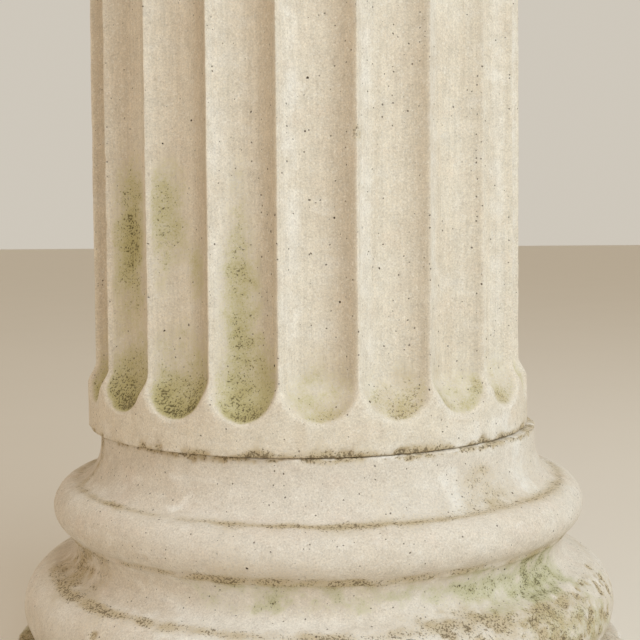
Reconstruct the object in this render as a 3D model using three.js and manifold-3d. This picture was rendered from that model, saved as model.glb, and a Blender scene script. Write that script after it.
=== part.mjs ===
// A free-standing column of cast stone: a moulded base on a plinth, a fluted shaft and a plain capital.
// Millimetres, +Z up. The origin is the centre of the plinth's underside.
import * as THREE from 'three';
import { mergeVertices } from 'three/addons/utils/BufferGeometryUtils.js';
import Module from 'manifold-3d';

// Shaft: one casting, fluted between two plain bands
const SHAFT_HEIGHT = 1760;
const FOOT_DIAMETER = 288.6;
const HEAD_DIAMETER = 250;
const FOOT_BAND_PROJECTION = 5.2;
const HEAD_BAND_PROJECTION = 4;
const ENTASIS_POWER = 1.6;
const FLUTE_COUNT = 20;
const FLUTE_DEPTH = 9.5;
const FLUTE_TURN = THREE.MathUtils.degToRad(-4.2);
const FOOT_BAND_HEIGHT = 17.5;
const HEAD_BAND_HEIGHT = 20;
const BAND_FLARE_HEIGHT = 14;
const FLARE_OVERRUN = 3.5;
const BAND_EDGE_EASE = 1.5;

// Base: plinth and turned mouldings in one casting, each projection measured out from the member above
const PLINTH_HEIGHT = 50;
const PLINTH_MARGIN = 2;
const LOWER_TORUS_HEIGHT = 49;
const LOWER_TORUS_BULGE = 22.5;
const LOWER_TORUS_PROJECTION = 20.5;
const SCOTIA_HEIGHT = 25;
const SCOTIA_HOLLOW = 5;
const SCOTIA_FILLET = 3;
const SCOTIA_WAIST = 0.6;
const SCOTIA_FOOT_PROJECTION = 11.5;
const SCOTIA_HEAD_PROJECTION = 7.5;
const UPPER_TORUS_HEIGHT = 31;
const UPPER_TORUS_BULGE = 15.7;
const CAVETTO_HEIGHT = 27;
const CAVETTO_PROJECTION = 16;
const CAVETTO_FOOT_ANGLE = 262;
const TOP_FILLET_HEIGHT = 8;
const TOP_FILLET_SETBACK = 1.5;

// Capital: necking, three annulets, echinus and square abacus in one casting
const ASTRAGAL_HEIGHT = 12;
const NECKING_HEIGHT = 34;
const ANNULET_COUNT = 3;
const ANNULET_HEIGHT = 5;
const ANNULET_STEP = 4;
const ECHINUS_HEIGHT = 40;
const ECHINUS_PROJECTION = 38;
const ABACUS_HEIGHT = 49;
const ABACUS_MARGIN = 6;

// Assembly: the pieces are stacked dry, and the shaft stands a little off the centre of the base
const JOINT_GAP = 0.3;
const SHAFT_OFFSET = -6.7;

// Fineness of the faceted surfaces
const TURNED_SEGMENTS = 48;
const FLUTE_SEGMENTS = 6;
const BAND_SEGMENTS = FLUTE_SEGMENTS + 2;
const END_ANGLES = [70, 48, 24].map(THREE.MathUtils.degToRad);
const OPEN_RING_COUNT = 4;
const TORUS_STEPS = 6;
const QUARTER_STEPS = 4;
const HOLLOW_STEPS = 2;
const BEAD_STEPS = 4;

// Radii and heights of the base, worked down from the shaft that it carries
const FOOT_BAND_RADIUS = FOOT_DIAMETER / 2 + FOOT_BAND_PROJECTION;
const TOP_FILLET_RADIUS = FOOT_BAND_RADIUS - TOP_FILLET_SETBACK;
const UPPER_TORUS_CENTRE = TOP_FILLET_RADIUS + CAVETTO_PROJECTION;
const SCOTIA_HEAD_RADIUS = UPPER_TORUS_CENTRE + SCOTIA_HEAD_PROJECTION;
const SCOTIA_FOOT_RADIUS = SCOTIA_HEAD_RADIUS + SCOTIA_FOOT_PROJECTION;
const LOWER_TORUS_RADIUS = UPPER_TORUS_CENTRE + UPPER_TORUS_BULGE + LOWER_TORUS_PROJECTION;
const LOWER_TORUS_CENTRE = LOWER_TORUS_RADIUS - LOWER_TORUS_BULGE;
const PLINTH_SIDE = 2 * (LOWER_TORUS_RADIUS + PLINTH_MARGIN);
const LOWER_TORUS_TOP = PLINTH_HEIGHT + LOWER_TORUS_HEIGHT;
const SCOTIA_TOP = LOWER_TORUS_TOP + SCOTIA_HEIGHT;
const UPPER_TORUS_TOP = SCOTIA_TOP + UPPER_TORUS_HEIGHT;
const CAVETTO_TOP = UPPER_TORUS_TOP + CAVETTO_HEIGHT;
const BASE_HEIGHT = CAVETTO_TOP + TOP_FILLET_HEIGHT;

// Radii and heights of the capital, worked out from the shaft's head
const NECK_RADIUS = HEAD_DIAMETER / 2;
const HEAD_BAND_RADIUS = NECK_RADIUS + HEAD_BAND_PROJECTION;
const ANNULETS_BASE = ASTRAGAL_HEIGHT + NECKING_HEIGHT;
const ECHINUS_BASE = ANNULETS_BASE + ANNULET_COUNT * ANNULET_HEIGHT;
const ECHINUS_FOOT_RADIUS = NECK_RADIUS + ANNULET_COUNT * ANNULET_STEP;
const ECHINUS_RADIUS = ECHINUS_FOOT_RADIUS + ECHINUS_PROJECTION;
const ABACUS_BASE = ECHINUS_BASE + ECHINUS_HEIGHT;
const ABACUS_SIDE = 2 * (ECHINUS_RADIUS + ABACUS_MARGIN);

const wasm = await Module();
wasm.setup();

/** A point of a turned profile, radius and height. */
function at(radius, height) {
  return new THREE.Vector2(radius, height);
}

/** Points along an elliptical arc. In degrees, 0 is outwards, 90 up, 180 inwards and 270 down. */
function arc(centre, semiRadius, semiHeight, startDegrees, endDegrees, steps) {
  const points = [];
  for (let i = 0; i <= steps; i += 1) {
    const angle = THREE.MathUtils.degToRad(THREE.MathUtils.lerp(startDegrees, endDegrees, i / steps));
    points.push(at(centre.x + semiRadius * Math.cos(angle), centre.y + semiHeight * Math.sin(angle)));
  }
  return points;
}

/** Revolves a profile that starts and ends on the axis, given from the bottom up, about +Z. */
function turned(profile) {
  const geometry = new THREE.LatheGeometry(profile, TURNED_SEGMENTS);
  geometry.rotateX(Math.PI / 2);
  return geometry;
}

/** A square slab whose underside is at the given height. */
function slab(side, underside, height) {
  const geometry = new THREE.BoxGeometry(side, side, height);
  geometry.translate(0, 0, underside + height / 2);
  return geometry;
}

/** A geometry as a manifold solid. */
function toSolid(geometry) {
  const bare = geometry.clone();
  bare.deleteAttribute('normal');
  bare.deleteAttribute('uv');
  const merged = mergeVertices(bare, 1e-4);
  const vertProperties = new Float32Array(merged.attributes.position.array);
  const triVerts = new Uint32Array(merged.index.array);
  return new wasm.Manifold(new wasm.Mesh({ numProp: 3, vertProperties, triVerts }));
}

/** Two closed geometries joined into one. */
function joined(first, second) {
  const mesh = toSolid(first).add(toSolid(second)).getMesh();
  const geometry = new THREE.BufferGeometry();
  geometry.setAttribute('position', new THREE.BufferAttribute(new Float32Array(mesh.vertProperties), 3));
  geometry.setIndex(new THREE.BufferAttribute(new Uint32Array(mesh.triVerts), 1));
  geometry.computeVertexNormals();
  return geometry;
}

/** The scotia: a fillet over the lower torus, a hollow curve and a fillet under the upper torus. */
function scotiaProfile() {
  const hollowFoot = LOWER_TORUS_TOP + SCOTIA_FILLET;
  const hollowTop = SCOTIA_TOP - SCOTIA_FILLET;
  const deepest = SCOTIA_HEAD_RADIUS - SCOTIA_HOLLOW;
  const waist = THREE.MathUtils.lerp(hollowFoot, hollowTop, SCOTIA_WAIST);
  const footCentre = at(SCOTIA_FOOT_RADIUS, waist);
  const headCentre = at(SCOTIA_HEAD_RADIUS, waist);
  const footReach = SCOTIA_FOOT_RADIUS - deepest;
  const lowerHollow = arc(footCentre, footReach, waist - hollowFoot, 270, 180, HOLLOW_STEPS);
  const upperHollow = arc(headCentre, SCOTIA_HOLLOW, hollowTop - waist, 180, 90, HOLLOW_STEPS);
  return [...lowerHollow, ...upperHollow.slice(1)];
}

/** The angle on a torus, in degrees from outwards, at which a member of the given radius meets it. */
function seatAngle(radius, torusCentre, torusBulge) {
  return THREE.MathUtils.radToDeg(Math.acos((radius - torusCentre) / torusBulge));
}

/** The turned mouldings above the plinth, from the plinth's heart up to the joint. */
function baseProfile() {
  const lowerCentre = at(LOWER_TORUS_CENTRE, PLINTH_HEIGHT + LOWER_TORUS_HEIGHT / 2);
  const lowerSeat = seatAngle(SCOTIA_FOOT_RADIUS, LOWER_TORUS_CENTRE, LOWER_TORUS_BULGE);
  const upperCentre = at(UPPER_TORUS_CENTRE, SCOTIA_TOP + UPPER_TORUS_HEIGHT / 2);
  const upperSeat = seatAngle(SCOTIA_HEAD_RADIUS, UPPER_TORUS_CENTRE, UPPER_TORUS_BULGE);
  const cavettoCentre = at(UPPER_TORUS_CENTRE, CAVETTO_TOP);
  return [
    at(0, PLINTH_HEIGHT / 2),
    at(LOWER_TORUS_CENTRE, PLINTH_HEIGHT / 2),
    ...arc(lowerCentre, LOWER_TORUS_BULGE, LOWER_TORUS_HEIGHT / 2, -90, lowerSeat, TORUS_STEPS),
    ...scotiaProfile(),
    ...arc(upperCentre, UPPER_TORUS_BULGE, UPPER_TORUS_HEIGHT / 2, -upperSeat, 90, TORUS_STEPS),
    ...arc(cavettoCentre, CAVETTO_PROJECTION, CAVETTO_HEIGHT, CAVETTO_FOOT_ANGLE, 180, QUARTER_STEPS),
    at(TOP_FILLET_RADIUS, BASE_HEIGHT - BAND_EDGE_EASE),
    at(TOP_FILLET_RADIUS - BAND_EDGE_EASE, BASE_HEIGHT),
    at(0, BASE_HEIGHT),
  ];
}

/** Radius of the arrises at a height on the shaft, with the taper swelling out as entasis. */
function arrisRadius(height) {
  const share = Math.pow(height / SHAFT_HEIGHT, ENTASIS_POWER);
  return THREE.MathUtils.lerp(FOOT_DIAMETER, HEAD_DIAMETER, share) / 2;
}

const HALF_FLUTE = Math.PI / FLUTE_COUNT;
const FOOT_END_RADIUS = arrisRadius(FOOT_BAND_HEIGHT) * Math.sin(HALF_FLUTE);
const HEAD_END_RADIUS = arrisRadius(SHAFT_HEIGHT - HEAD_BAND_HEIGHT) * Math.sin(HALF_FLUTE);
const FOOT_END_CENTRE = FOOT_BAND_HEIGHT + FOOT_END_RADIUS;
const HEAD_END_CENTRE = SHAFT_HEIGHT - HEAD_BAND_HEIGHT - HEAD_END_RADIUS;
const FOOT_FLARE_TOP = FOOT_END_CENTRE + FLARE_OVERRUN;
const HEAD_FLARE_FOOT = HEAD_END_CENTRE - FLARE_OVERRUN;

/** Radius of the shaft between its flutes: the arrises, flaring out into the plain band at each end. */
function envelopeRadius(height) {
  const foot = 1 - THREE.MathUtils.smoothstep(height, FOOT_FLARE_TOP - BAND_FLARE_HEIGHT, FOOT_FLARE_TOP);
  const head = THREE.MathUtils.smoothstep(height, HEAD_FLARE_FOOT, HEAD_FLARE_FOOT + BAND_FLARE_HEIGHT);
  const flared = THREE.MathUtils.lerp(arrisRadius(height), FOOT_BAND_RADIUS, foot);
  return THREE.MathUtils.lerp(flared, HEAD_BAND_RADIUS, head);
}

/** Depth of the flute's arc below the chord between its edges, at a distance from its centre line. */
function fluteHollow(halfWidth, distance) {
  const arcRadius = (halfWidth * halfWidth + FLUTE_DEPTH * FLUTE_DEPTH) / (2 * FLUTE_DEPTH);
  return Math.sqrt(arcRadius ** 2 - distance ** 2) - Math.sqrt(arcRadius ** 2 - halfWidth ** 2);
}

/** One ring point as angle from the flute's centre line, radius and height. */
function ringPoint(across, inward, height) {
  return { angle: Math.atan2(across, inward), radius: Math.hypot(across, inward), height };
}

/** A ring through the open flutes: one point on each arris and the hollow between them. */
function openRing(height) {
  const radius = envelopeRadius(height);
  const halfWidth = radius * Math.sin(HALF_FLUTE);
  const chord = radius * Math.cos(HALF_FLUTE);
  const points = [];
  for (let i = 0; i < FLUTE_SEGMENTS; i += 1) {
    const across = THREE.MathUtils.lerp(-halfWidth, halfWidth, i / FLUTE_SEGMENTS);
    points.push(ringPoint(across, chord - fluteHollow(halfWidth, across), height));
  }
  return { points, open: true };
}

/** A ring through the flutes' round ends, at an angle along each end's half circle. */
function endRing(centreHeight, endRadius, rise, endAngle) {
  const height = centreHeight + rise * endRadius * Math.sin(endAngle);
  const radius = envelopeRadius(height);
  const halfWidth = endRadius * Math.cos(endAngle);
  const chord = Math.sqrt(radius ** 2 - halfWidth ** 2);
  const points = [];
  for (let i = 0; i <= FLUTE_SEGMENTS; i += 1) {
    const across = THREE.MathUtils.lerp(-halfWidth, halfWidth, i / FLUTE_SEGMENTS);
    const fromCentre = Math.min(endRadius, Math.hypot(across, centreHeight - height));
    points.push(ringPoint(across, chord - fluteHollow(endRadius, fromCentre), height));
  }
  points.push({ angle: HALF_FLUTE, radius, height });
  return { points, open: false };
}

/** A plain ring around a band, at even angles. */
function bandRing(radius, height) {
  const points = [];
  for (let i = 0; i < BAND_SEGMENTS; i += 1) {
    const angle = THREE.MathUtils.lerp(-HALF_FLUTE, HALF_FLUTE, (i + 1) / BAND_SEGMENTS);
    points.push({ angle, radius, height });
  }
  return { points, open: false };
}

/** All the rings of the shaft from the foot to the head. */
function shaftRings() {
  const rings = [bandRing(FOOT_BAND_RADIUS - BAND_EDGE_EASE, 0)];
  rings.push(bandRing(FOOT_BAND_RADIUS, BAND_EDGE_EASE));
  rings.push(bandRing(FOOT_BAND_RADIUS, FOOT_BAND_HEIGHT));
  for (const angle of END_ANGLES) {
    rings.push(endRing(FOOT_END_CENTRE, FOOT_END_RADIUS, -1, angle));
  }
  rings.push(openRing(FOOT_END_CENTRE));
  for (let i = 0; i <= OPEN_RING_COUNT; i += 1) {
    rings.push(openRing(THREE.MathUtils.lerp(FOOT_FLARE_TOP, HEAD_FLARE_FOOT, i / OPEN_RING_COUNT)));
  }
  rings.push(openRing(HEAD_END_CENTRE));
  for (const angle of END_ANGLES.toReversed()) {
    rings.push(endRing(HEAD_END_CENTRE, HEAD_END_RADIUS, 1, angle));
  }
  rings.push(bandRing(HEAD_BAND_RADIUS, SHAFT_HEIGHT - HEAD_BAND_HEIGHT));
  rings.push(bandRing(HEAD_BAND_RADIUS, SHAFT_HEIGHT - BAND_EDGE_EASE));
  rings.push(bandRing(HEAD_BAND_RADIUS - BAND_EDGE_EASE, SHAFT_HEIGHT));
  return rings;
}

/** The places of all ring points, flute by flute, and where each ring starts among them. */
function ringPositions(rings) {
  const positions = [];
  const starts = [];
  for (const ring of rings) {
    starts.push(positions.length / 3);
    for (let flute = 0; flute < FLUTE_COUNT; flute += 1) {
      const centreLine = FLUTE_TURN + (2 * flute + 1) * HALF_FLUTE;
      for (const point of ring.points) {
        const angle = centreLine + point.angle;
        positions.push(point.radius * Math.sin(angle), -point.radius * Math.cos(angle), point.height);
      }
    }
  }
  return { positions, starts };
}

/** The shaft's surface: its rings joined into strips, with a flat fan at each end. */
function shaftGeometry() {
  const rings = shaftRings();
  const { positions, starts } = ringPositions(rings);
  const last = rings.length - 1;
  const index = [];
  const vertex = (ring, flute, slot) => {
    const size = rings[ring].points.length;
    const place = rings[ring].open ? Math.min(slot, FLUTE_SEGMENTS) : slot;
    return starts[ring] + ((flute * size + place) % (FLUTE_COUNT * size));
  };
  const footHub = positions.length / 3;
  const headHub = footHub + 1;
  positions.push(0, 0, 0, 0, 0, SHAFT_HEIGHT);
  for (let flute = 0; flute < FLUTE_COUNT; flute += 1) {
    for (let slot = 0; slot < BAND_SEGMENTS; slot += 1) {
      for (let low = 0; low < last; low += 1) {
        const [lowFrom, lowTo] = [vertex(low, flute, slot), vertex(low, flute, slot + 1)];
        const [highFrom, highTo] = [vertex(low + 1, flute, slot), vertex(low + 1, flute, slot + 1)];
        if (lowFrom !== lowTo) {
          index.push(lowFrom, lowTo, highTo);
        }
        if (highFrom !== highTo) {
          index.push(lowFrom, highTo, highFrom);
        }
      }
      index.push(footHub, vertex(0, flute, slot + 1), vertex(0, flute, slot));
      index.push(headHub, vertex(last, flute, slot), vertex(last, flute, slot + 1));
    }
  }
  const geometry = new THREE.BufferGeometry();
  geometry.setAttribute('position', new THREE.Float32BufferAttribute(positions, 3));
  geometry.setIndex(index);
  geometry.computeVertexNormals();
  return geometry;
}

/** The turned part of the capital, from its joint up into the abacus. */
function capitalProfile() {
  const bead = ASTRAGAL_HEIGHT / 2;
  const profile = [at(0, 0), ...arc(at(HEAD_BAND_RADIUS, bead), bead, bead, -90, 90, BEAD_STEPS)];
  profile.push(at(NECK_RADIUS, ASTRAGAL_HEIGHT + HEAD_BAND_PROJECTION));
  for (let i = 0; i < ANNULET_COUNT; i += 1) {
    const underside = ANNULETS_BASE + i * ANNULET_HEIGHT;
    profile.push(at(NECK_RADIUS + i * ANNULET_STEP, underside));
    profile.push(at(NECK_RADIUS + (i + 1) * ANNULET_STEP, underside));
  }
  const echinusCentre = at(ECHINUS_FOOT_RADIUS, ABACUS_BASE);
  profile.push(...arc(echinusCentre, ECHINUS_PROJECTION, ECHINUS_HEIGHT, -90, 0, QUARTER_STEPS));
  const abacusHeart = ABACUS_BASE + ABACUS_HEIGHT / 2;
  profile.push(at(ECHINUS_RADIUS, abacusHeart), at(0, abacusHeart));
  return profile;
}

/** A named mesh in stone of the given colour. */
function stoneMesh(name, geometry, color) {
  const material = new THREE.MeshStandardMaterial({ color, roughness: 0.9, metalness: 0 });
  const mesh = new THREE.Mesh(geometry, material);
  mesh.name = name;
  return mesh;
}

/** The three castings stacked on one another. */
function buildColumn() {
  const column = new THREE.Group();
  const plinth = slab(PLINTH_SIDE, 0, PLINTH_HEIGHT);
  column.add(stoneMesh('base', joined(turned(baseProfile()), plinth), 0xd8c9b2));

  const upper = new THREE.Group();
  upper.position.set(SHAFT_OFFSET, 0, BASE_HEIGHT + JOINT_GAP);
  upper.add(stoneMesh('shaft', shaftGeometry(), 0xe0d2ba));

  const abacus = slab(ABACUS_SIDE, ABACUS_BASE, ABACUS_HEIGHT);
  const capital = stoneMesh('capital', joined(turned(capitalProfile()), abacus), 0xddd0ba);
  capital.position.z = SHAFT_HEIGHT + JOINT_GAP;
  upper.add(capital);
  column.add(upper);
  return column;
}

export default buildColumn();
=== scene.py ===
"""A weathered column of cast stone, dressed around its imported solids.

Three castings stand dry on one another: a moulded base with its square plinth, a fluted shaft and a plain
capital. Everything is in metres, +Z up, with the origin at the centre of the plinth's underside.
"""

import logging
import math
from collections.abc import Sequence
from dataclasses import dataclass, field
from enum import Enum

import bpy
import numpy as np
from mathutils import Matrix, Vector


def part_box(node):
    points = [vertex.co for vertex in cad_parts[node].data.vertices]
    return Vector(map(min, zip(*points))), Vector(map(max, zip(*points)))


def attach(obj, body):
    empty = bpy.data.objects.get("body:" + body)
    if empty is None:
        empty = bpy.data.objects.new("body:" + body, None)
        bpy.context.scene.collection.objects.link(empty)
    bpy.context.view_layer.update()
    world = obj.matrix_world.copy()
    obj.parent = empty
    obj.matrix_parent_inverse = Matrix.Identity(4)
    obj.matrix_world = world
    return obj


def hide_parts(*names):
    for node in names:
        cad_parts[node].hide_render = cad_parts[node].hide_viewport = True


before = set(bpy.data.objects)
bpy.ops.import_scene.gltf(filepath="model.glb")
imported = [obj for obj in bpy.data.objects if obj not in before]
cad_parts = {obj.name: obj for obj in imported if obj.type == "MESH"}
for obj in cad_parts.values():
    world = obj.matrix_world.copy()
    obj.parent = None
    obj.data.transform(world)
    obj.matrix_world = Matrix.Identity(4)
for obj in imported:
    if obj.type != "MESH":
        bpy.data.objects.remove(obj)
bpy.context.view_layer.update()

LOG = logging.getLogger("column")
MM = 0.001
TURN = 2.0 * math.pi

Colour = tuple[float, float, float]
Point = tuple[float, float, float]
Span = tuple[float, float]
Socket = bpy.types.NodeSocket
Settings = dict[str, object] | None
Inputs = dict[str | int, object] | None

ALL_ROUND: Span = (-180.0, 180.0)


class Stain(Enum):
    """Weather's marks and painted light and shade on the stone, kept point by point on each casting."""

    ALGAE = "algae"
    # Soil, with painted shade in the creases and on the plinth's top.
    SOIL = "soil"
    # Paler stone, with painted highlights in places.
    PALE = "pale"
    # Painted shade where surfaces face away from the light.
    DULL = "dull"


class Member(Enum):
    """The members of a turned and squared casting, from one joint face to the other."""

    FACE = 0
    FILLET = 1
    CAVETTO = 2
    UPPER_TORUS = 3
    SCOTIA = 4
    LOWER_TORUS = 5
    LEDGE = 6
    SLAB = 7
    BEAD = 8
    NECKING = 9
    ANNULET = 10
    ECHINUS = 11


def smooth(values: np.ndarray, low: float, high: float) -> np.ndarray:
    """Eases values from 0 at low to 1 at high."""
    share = np.clip((values - low) / (high - low), 0.0, 1.0)
    return share * share * (3.0 - 2.0 * share)


def around(angles: np.ndarray, centre: float, reach: float) -> np.ndarray:
    """Gives 1 at an angle in degrees from the front, falling to 0 at its reach to either side."""
    apart = np.abs((angles - centre + 180.0) % 360.0 - 180.0)
    return 1.0 - smooth(apart, 0.0, reach)


def patchwork(angles: np.ndarray, spots: Sequence[Point]) -> np.ndarray:
    """Adds up patches on the way round, each with its centre, its reach and its strength."""
    parts = (strength * around(angles, centre, reach) for centre, reach, strength in spots)
    return sum(parts, np.zeros(angles.shape))


def bell(values: np.ndarray, reach: float) -> np.ndarray:
    """Gives 1 at 0, falling away on both sides within about twice the reach."""
    return np.exp(-((values / reach) ** 2))


def ring_points(radius: np.ndarray, angle: np.ndarray, level: np.ndarray) -> np.ndarray:
    """Places points by their distance from the axis, angle from the front and height."""
    return np.stack(np.broadcast_arrays(radius * np.sin(angle), -radius * np.cos(angle), level), axis=2)


def put(name: str, data: bpy.types.ID) -> bpy.types.Object:
    """Puts a new object with some data into the scene.

    Args:
        name: The object's name.
        data: Its mesh, lamp or camera.

    Returns:
        The object.
    """
    made = bpy.data.objects.new(name, data)
    bpy.context.scene.collection.objects.link(made)
    return made


class WearNoise:
    """Smooth seeded noise in space, for the wear that the mesh itself carries."""

    CELLS = 32
    OCTAVE_SHIFT = 0.37

    def __init__(self, seed: int) -> None:
        """Fills the noise's cube of random values, which the seed chooses."""
        self.values = np.random.default_rng(seed).uniform(-1.0, 1.0, (self.CELLS,) * 3)

    def sample(self, points: np.ndarray, feature: float) -> np.ndarray:
        """Reads one octave of the noise.

        Args:
            points: Places, one row each.
            feature: Size of the noise's features, in metres.

        Returns:
            Numbers from -1 to 1, one for each place.
        """
        scaled = points / feature
        whole = np.floor(scaled).astype(int)
        part = scaled - whole
        part = part * part * (3.0 - 2.0 * part)
        total = np.zeros(points.shape[:-1])
        for corner in np.ndindex(2, 2, 2):
            cell = (whole + np.array(corner)) % self.CELLS
            weight = np.where(np.array(corner) == 1, part, 1.0 - part).prod(axis=-1)
            total += weight * self.values[cell[..., 0], cell[..., 1], cell[..., 2]]
        return total

    def fractal(self, points: np.ndarray, feature: float, octaves: int) -> np.ndarray:
        """Sums octaves of the noise, each half the size and strength of the one before.

        Args:
            points: Places, one row each.
            feature: Size of the largest features, in metres.
            octaves: How many octaves.

        Returns:
            Numbers around 0, mostly from -1 to 1.
        """
        total = np.zeros(points.shape[:-1])
        for octave in range(octaves):
            total += self.sample(points + octave * self.OCTAVE_SHIFT, feature / 2**octave) / 2**octave
        return total


@dataclass(frozen=True)
class Chip:
    """A small bite out of the stone."""

    FLOOR_SHARE = 0.3
    RAGGEDNESS = 0.45
    DEPTH_SHARES = (0.2, 0.45)

    place: Point
    reach: float
    depth: float

    def bite(self, points: np.ndarray, ragged: np.ndarray) -> np.ndarray:
        """Gives the depth that the chip cuts in at each point, its outline roughened by noise."""
        away = np.linalg.norm(points - np.array(self.place), axis=-1) * (1.0 + self.RAGGEDNESS * ragged)
        return self.depth * (1.0 - smooth(away, self.FLOOR_SHARE * self.reach, self.reach))


def chips_round(
    rng: np.random.Generator, count: int, radius: float, levels: Point, reach: Span, span: Span = ALL_ROUND
) -> list[Chip]:
    """Scatters chips round a casting, more of them small than large.

    Args:
        rng: The casting's own random numbers.
        count: How many chips.
        radius: Their distance from the axis.
        levels: Their middle height, and how far they may lie above and below it.
        reach: Smallest and largest reach of a chip.
        span: The part of the way round that they lie on, in degrees.

    Returns:
        The chips.
    """
    chips = []
    for _ in range(count):
        angle = math.radians(rng.uniform(*span))
        level = levels[0] + rng.uniform(-levels[2], levels[1])
        size = reach[0] + (reach[1] - reach[0]) * rng.uniform() ** 3
        place = (radius * math.sin(angle), -radius * math.cos(angle), level)
        chips.append(Chip(place, size, size * rng.uniform(*Chip.DEPTH_SHARES)))
    return chips


def carve(chips: Sequence[Chip], rings: np.ndarray, ragged: np.ndarray) -> np.ndarray:
    """Joins the bites of many chips.

    Args:
        chips: The chips.
        rings: Points of the casting, each ring at one level.
        ragged: Noise that roughens the chips' outlines.

    Returns:
        Depths in metres.
    """
    depth = np.zeros(rings.shape[:2])
    for chip in chips:
        near = np.abs(rings[:, 0, 2] - chip.place[2]) < 2.0 * chip.reach
        depth[near] = np.maximum(depth[near], chip.bite(rings[near], ragged[near]))
    return depth


@dataclass
class Skin:
    """A closed surface laid over rings of points, with the stains on it."""

    name: str
    rings: np.ndarray
    stains: dict[Stain, np.ndarray]

    def faces(self) -> list[list[int]]:
        """Joins the rings by quads and closes both ends with fans.

        Returns:
            The faces' corners, turned so that they face outwards.
        """
        rows, columns = self.rings.shape[:2]
        here = np.arange(columns)
        after = (here + 1) % columns
        low = columns * np.arange(rows - 1)[:, None]
        high = low + columns
        quads = np.stack([low + here, low + after, high + after, high + here], axis=2).reshape(-1, 4)
        first, top = rows * columns, (rows - 1) * columns
        start = np.stack([after, here, np.full(columns, first)], axis=1)
        finish = np.stack([top + here, top + after, np.full(columns, first + 1)], axis=1)
        faces = [*quads.tolist(), *start.tolist(), *finish.tolist()]
        falling = self.rings[0, 0, 2] > self.rings[-1, 0, 2]
        return [face[::-1] for face in faces] if falling else faces

    def mesh(self) -> bpy.types.Mesh:
        """Builds the mesh, shaded smooth, with one attribute for each stain.

        Returns:
            The mesh.
        """
        ends = self.rings[[0, -1]].mean(axis=1)
        mesh = bpy.data.meshes.new(self.name)
        mesh.from_pydata(np.vstack([self.rings.reshape(-1, 3), ends]), [], self.faces(), shade_flat=False)
        for stain, values in self.stains.items():
            layer = mesh.attributes.new(stain.value, "FLOAT", "POINT")
            spread = np.broadcast_to(values, self.rings.shape[:2]).reshape(-1)
            layer.data.foreach_set("value", np.concatenate([spread, [0.0, 0.0]]).astype(np.float32))
        mesh.validate()
        return mesh

    def piece(self, node: str, material: bpy.types.Material) -> bpy.types.Object:
        """Makes the dressed piece that stands for a solid of the frame.

        Args:
            node: The solid that it replaces.
            material: Its finish.

        Returns:
            The new object, riding on the column's one body.
        """
        mesh = self.mesh()
        mesh.materials.append(material)
        made = put(self.name, mesh)
        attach(made, "root")
        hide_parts(node)
        LOG.info("%s: %d faces", self.name, len(mesh.polygons))
        return made


@dataclass(frozen=True)
class Crease:
    """A hollow line where two members meet, which wear has filled and soil and painted shade darken."""

    members: tuple[Member, Member]
    fill: float
    # Strength of the soil and painted shade laid in the crease.
    soil: float
    patches: tuple[Point, ...] = ()

    def dirt_and_shade(self, angles: np.ndarray) -> np.ndarray:
        """Gives the crease's soil and painted shade, at angles in degrees from the front."""
        return self.soil + patchwork(angles, self.patches)


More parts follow.
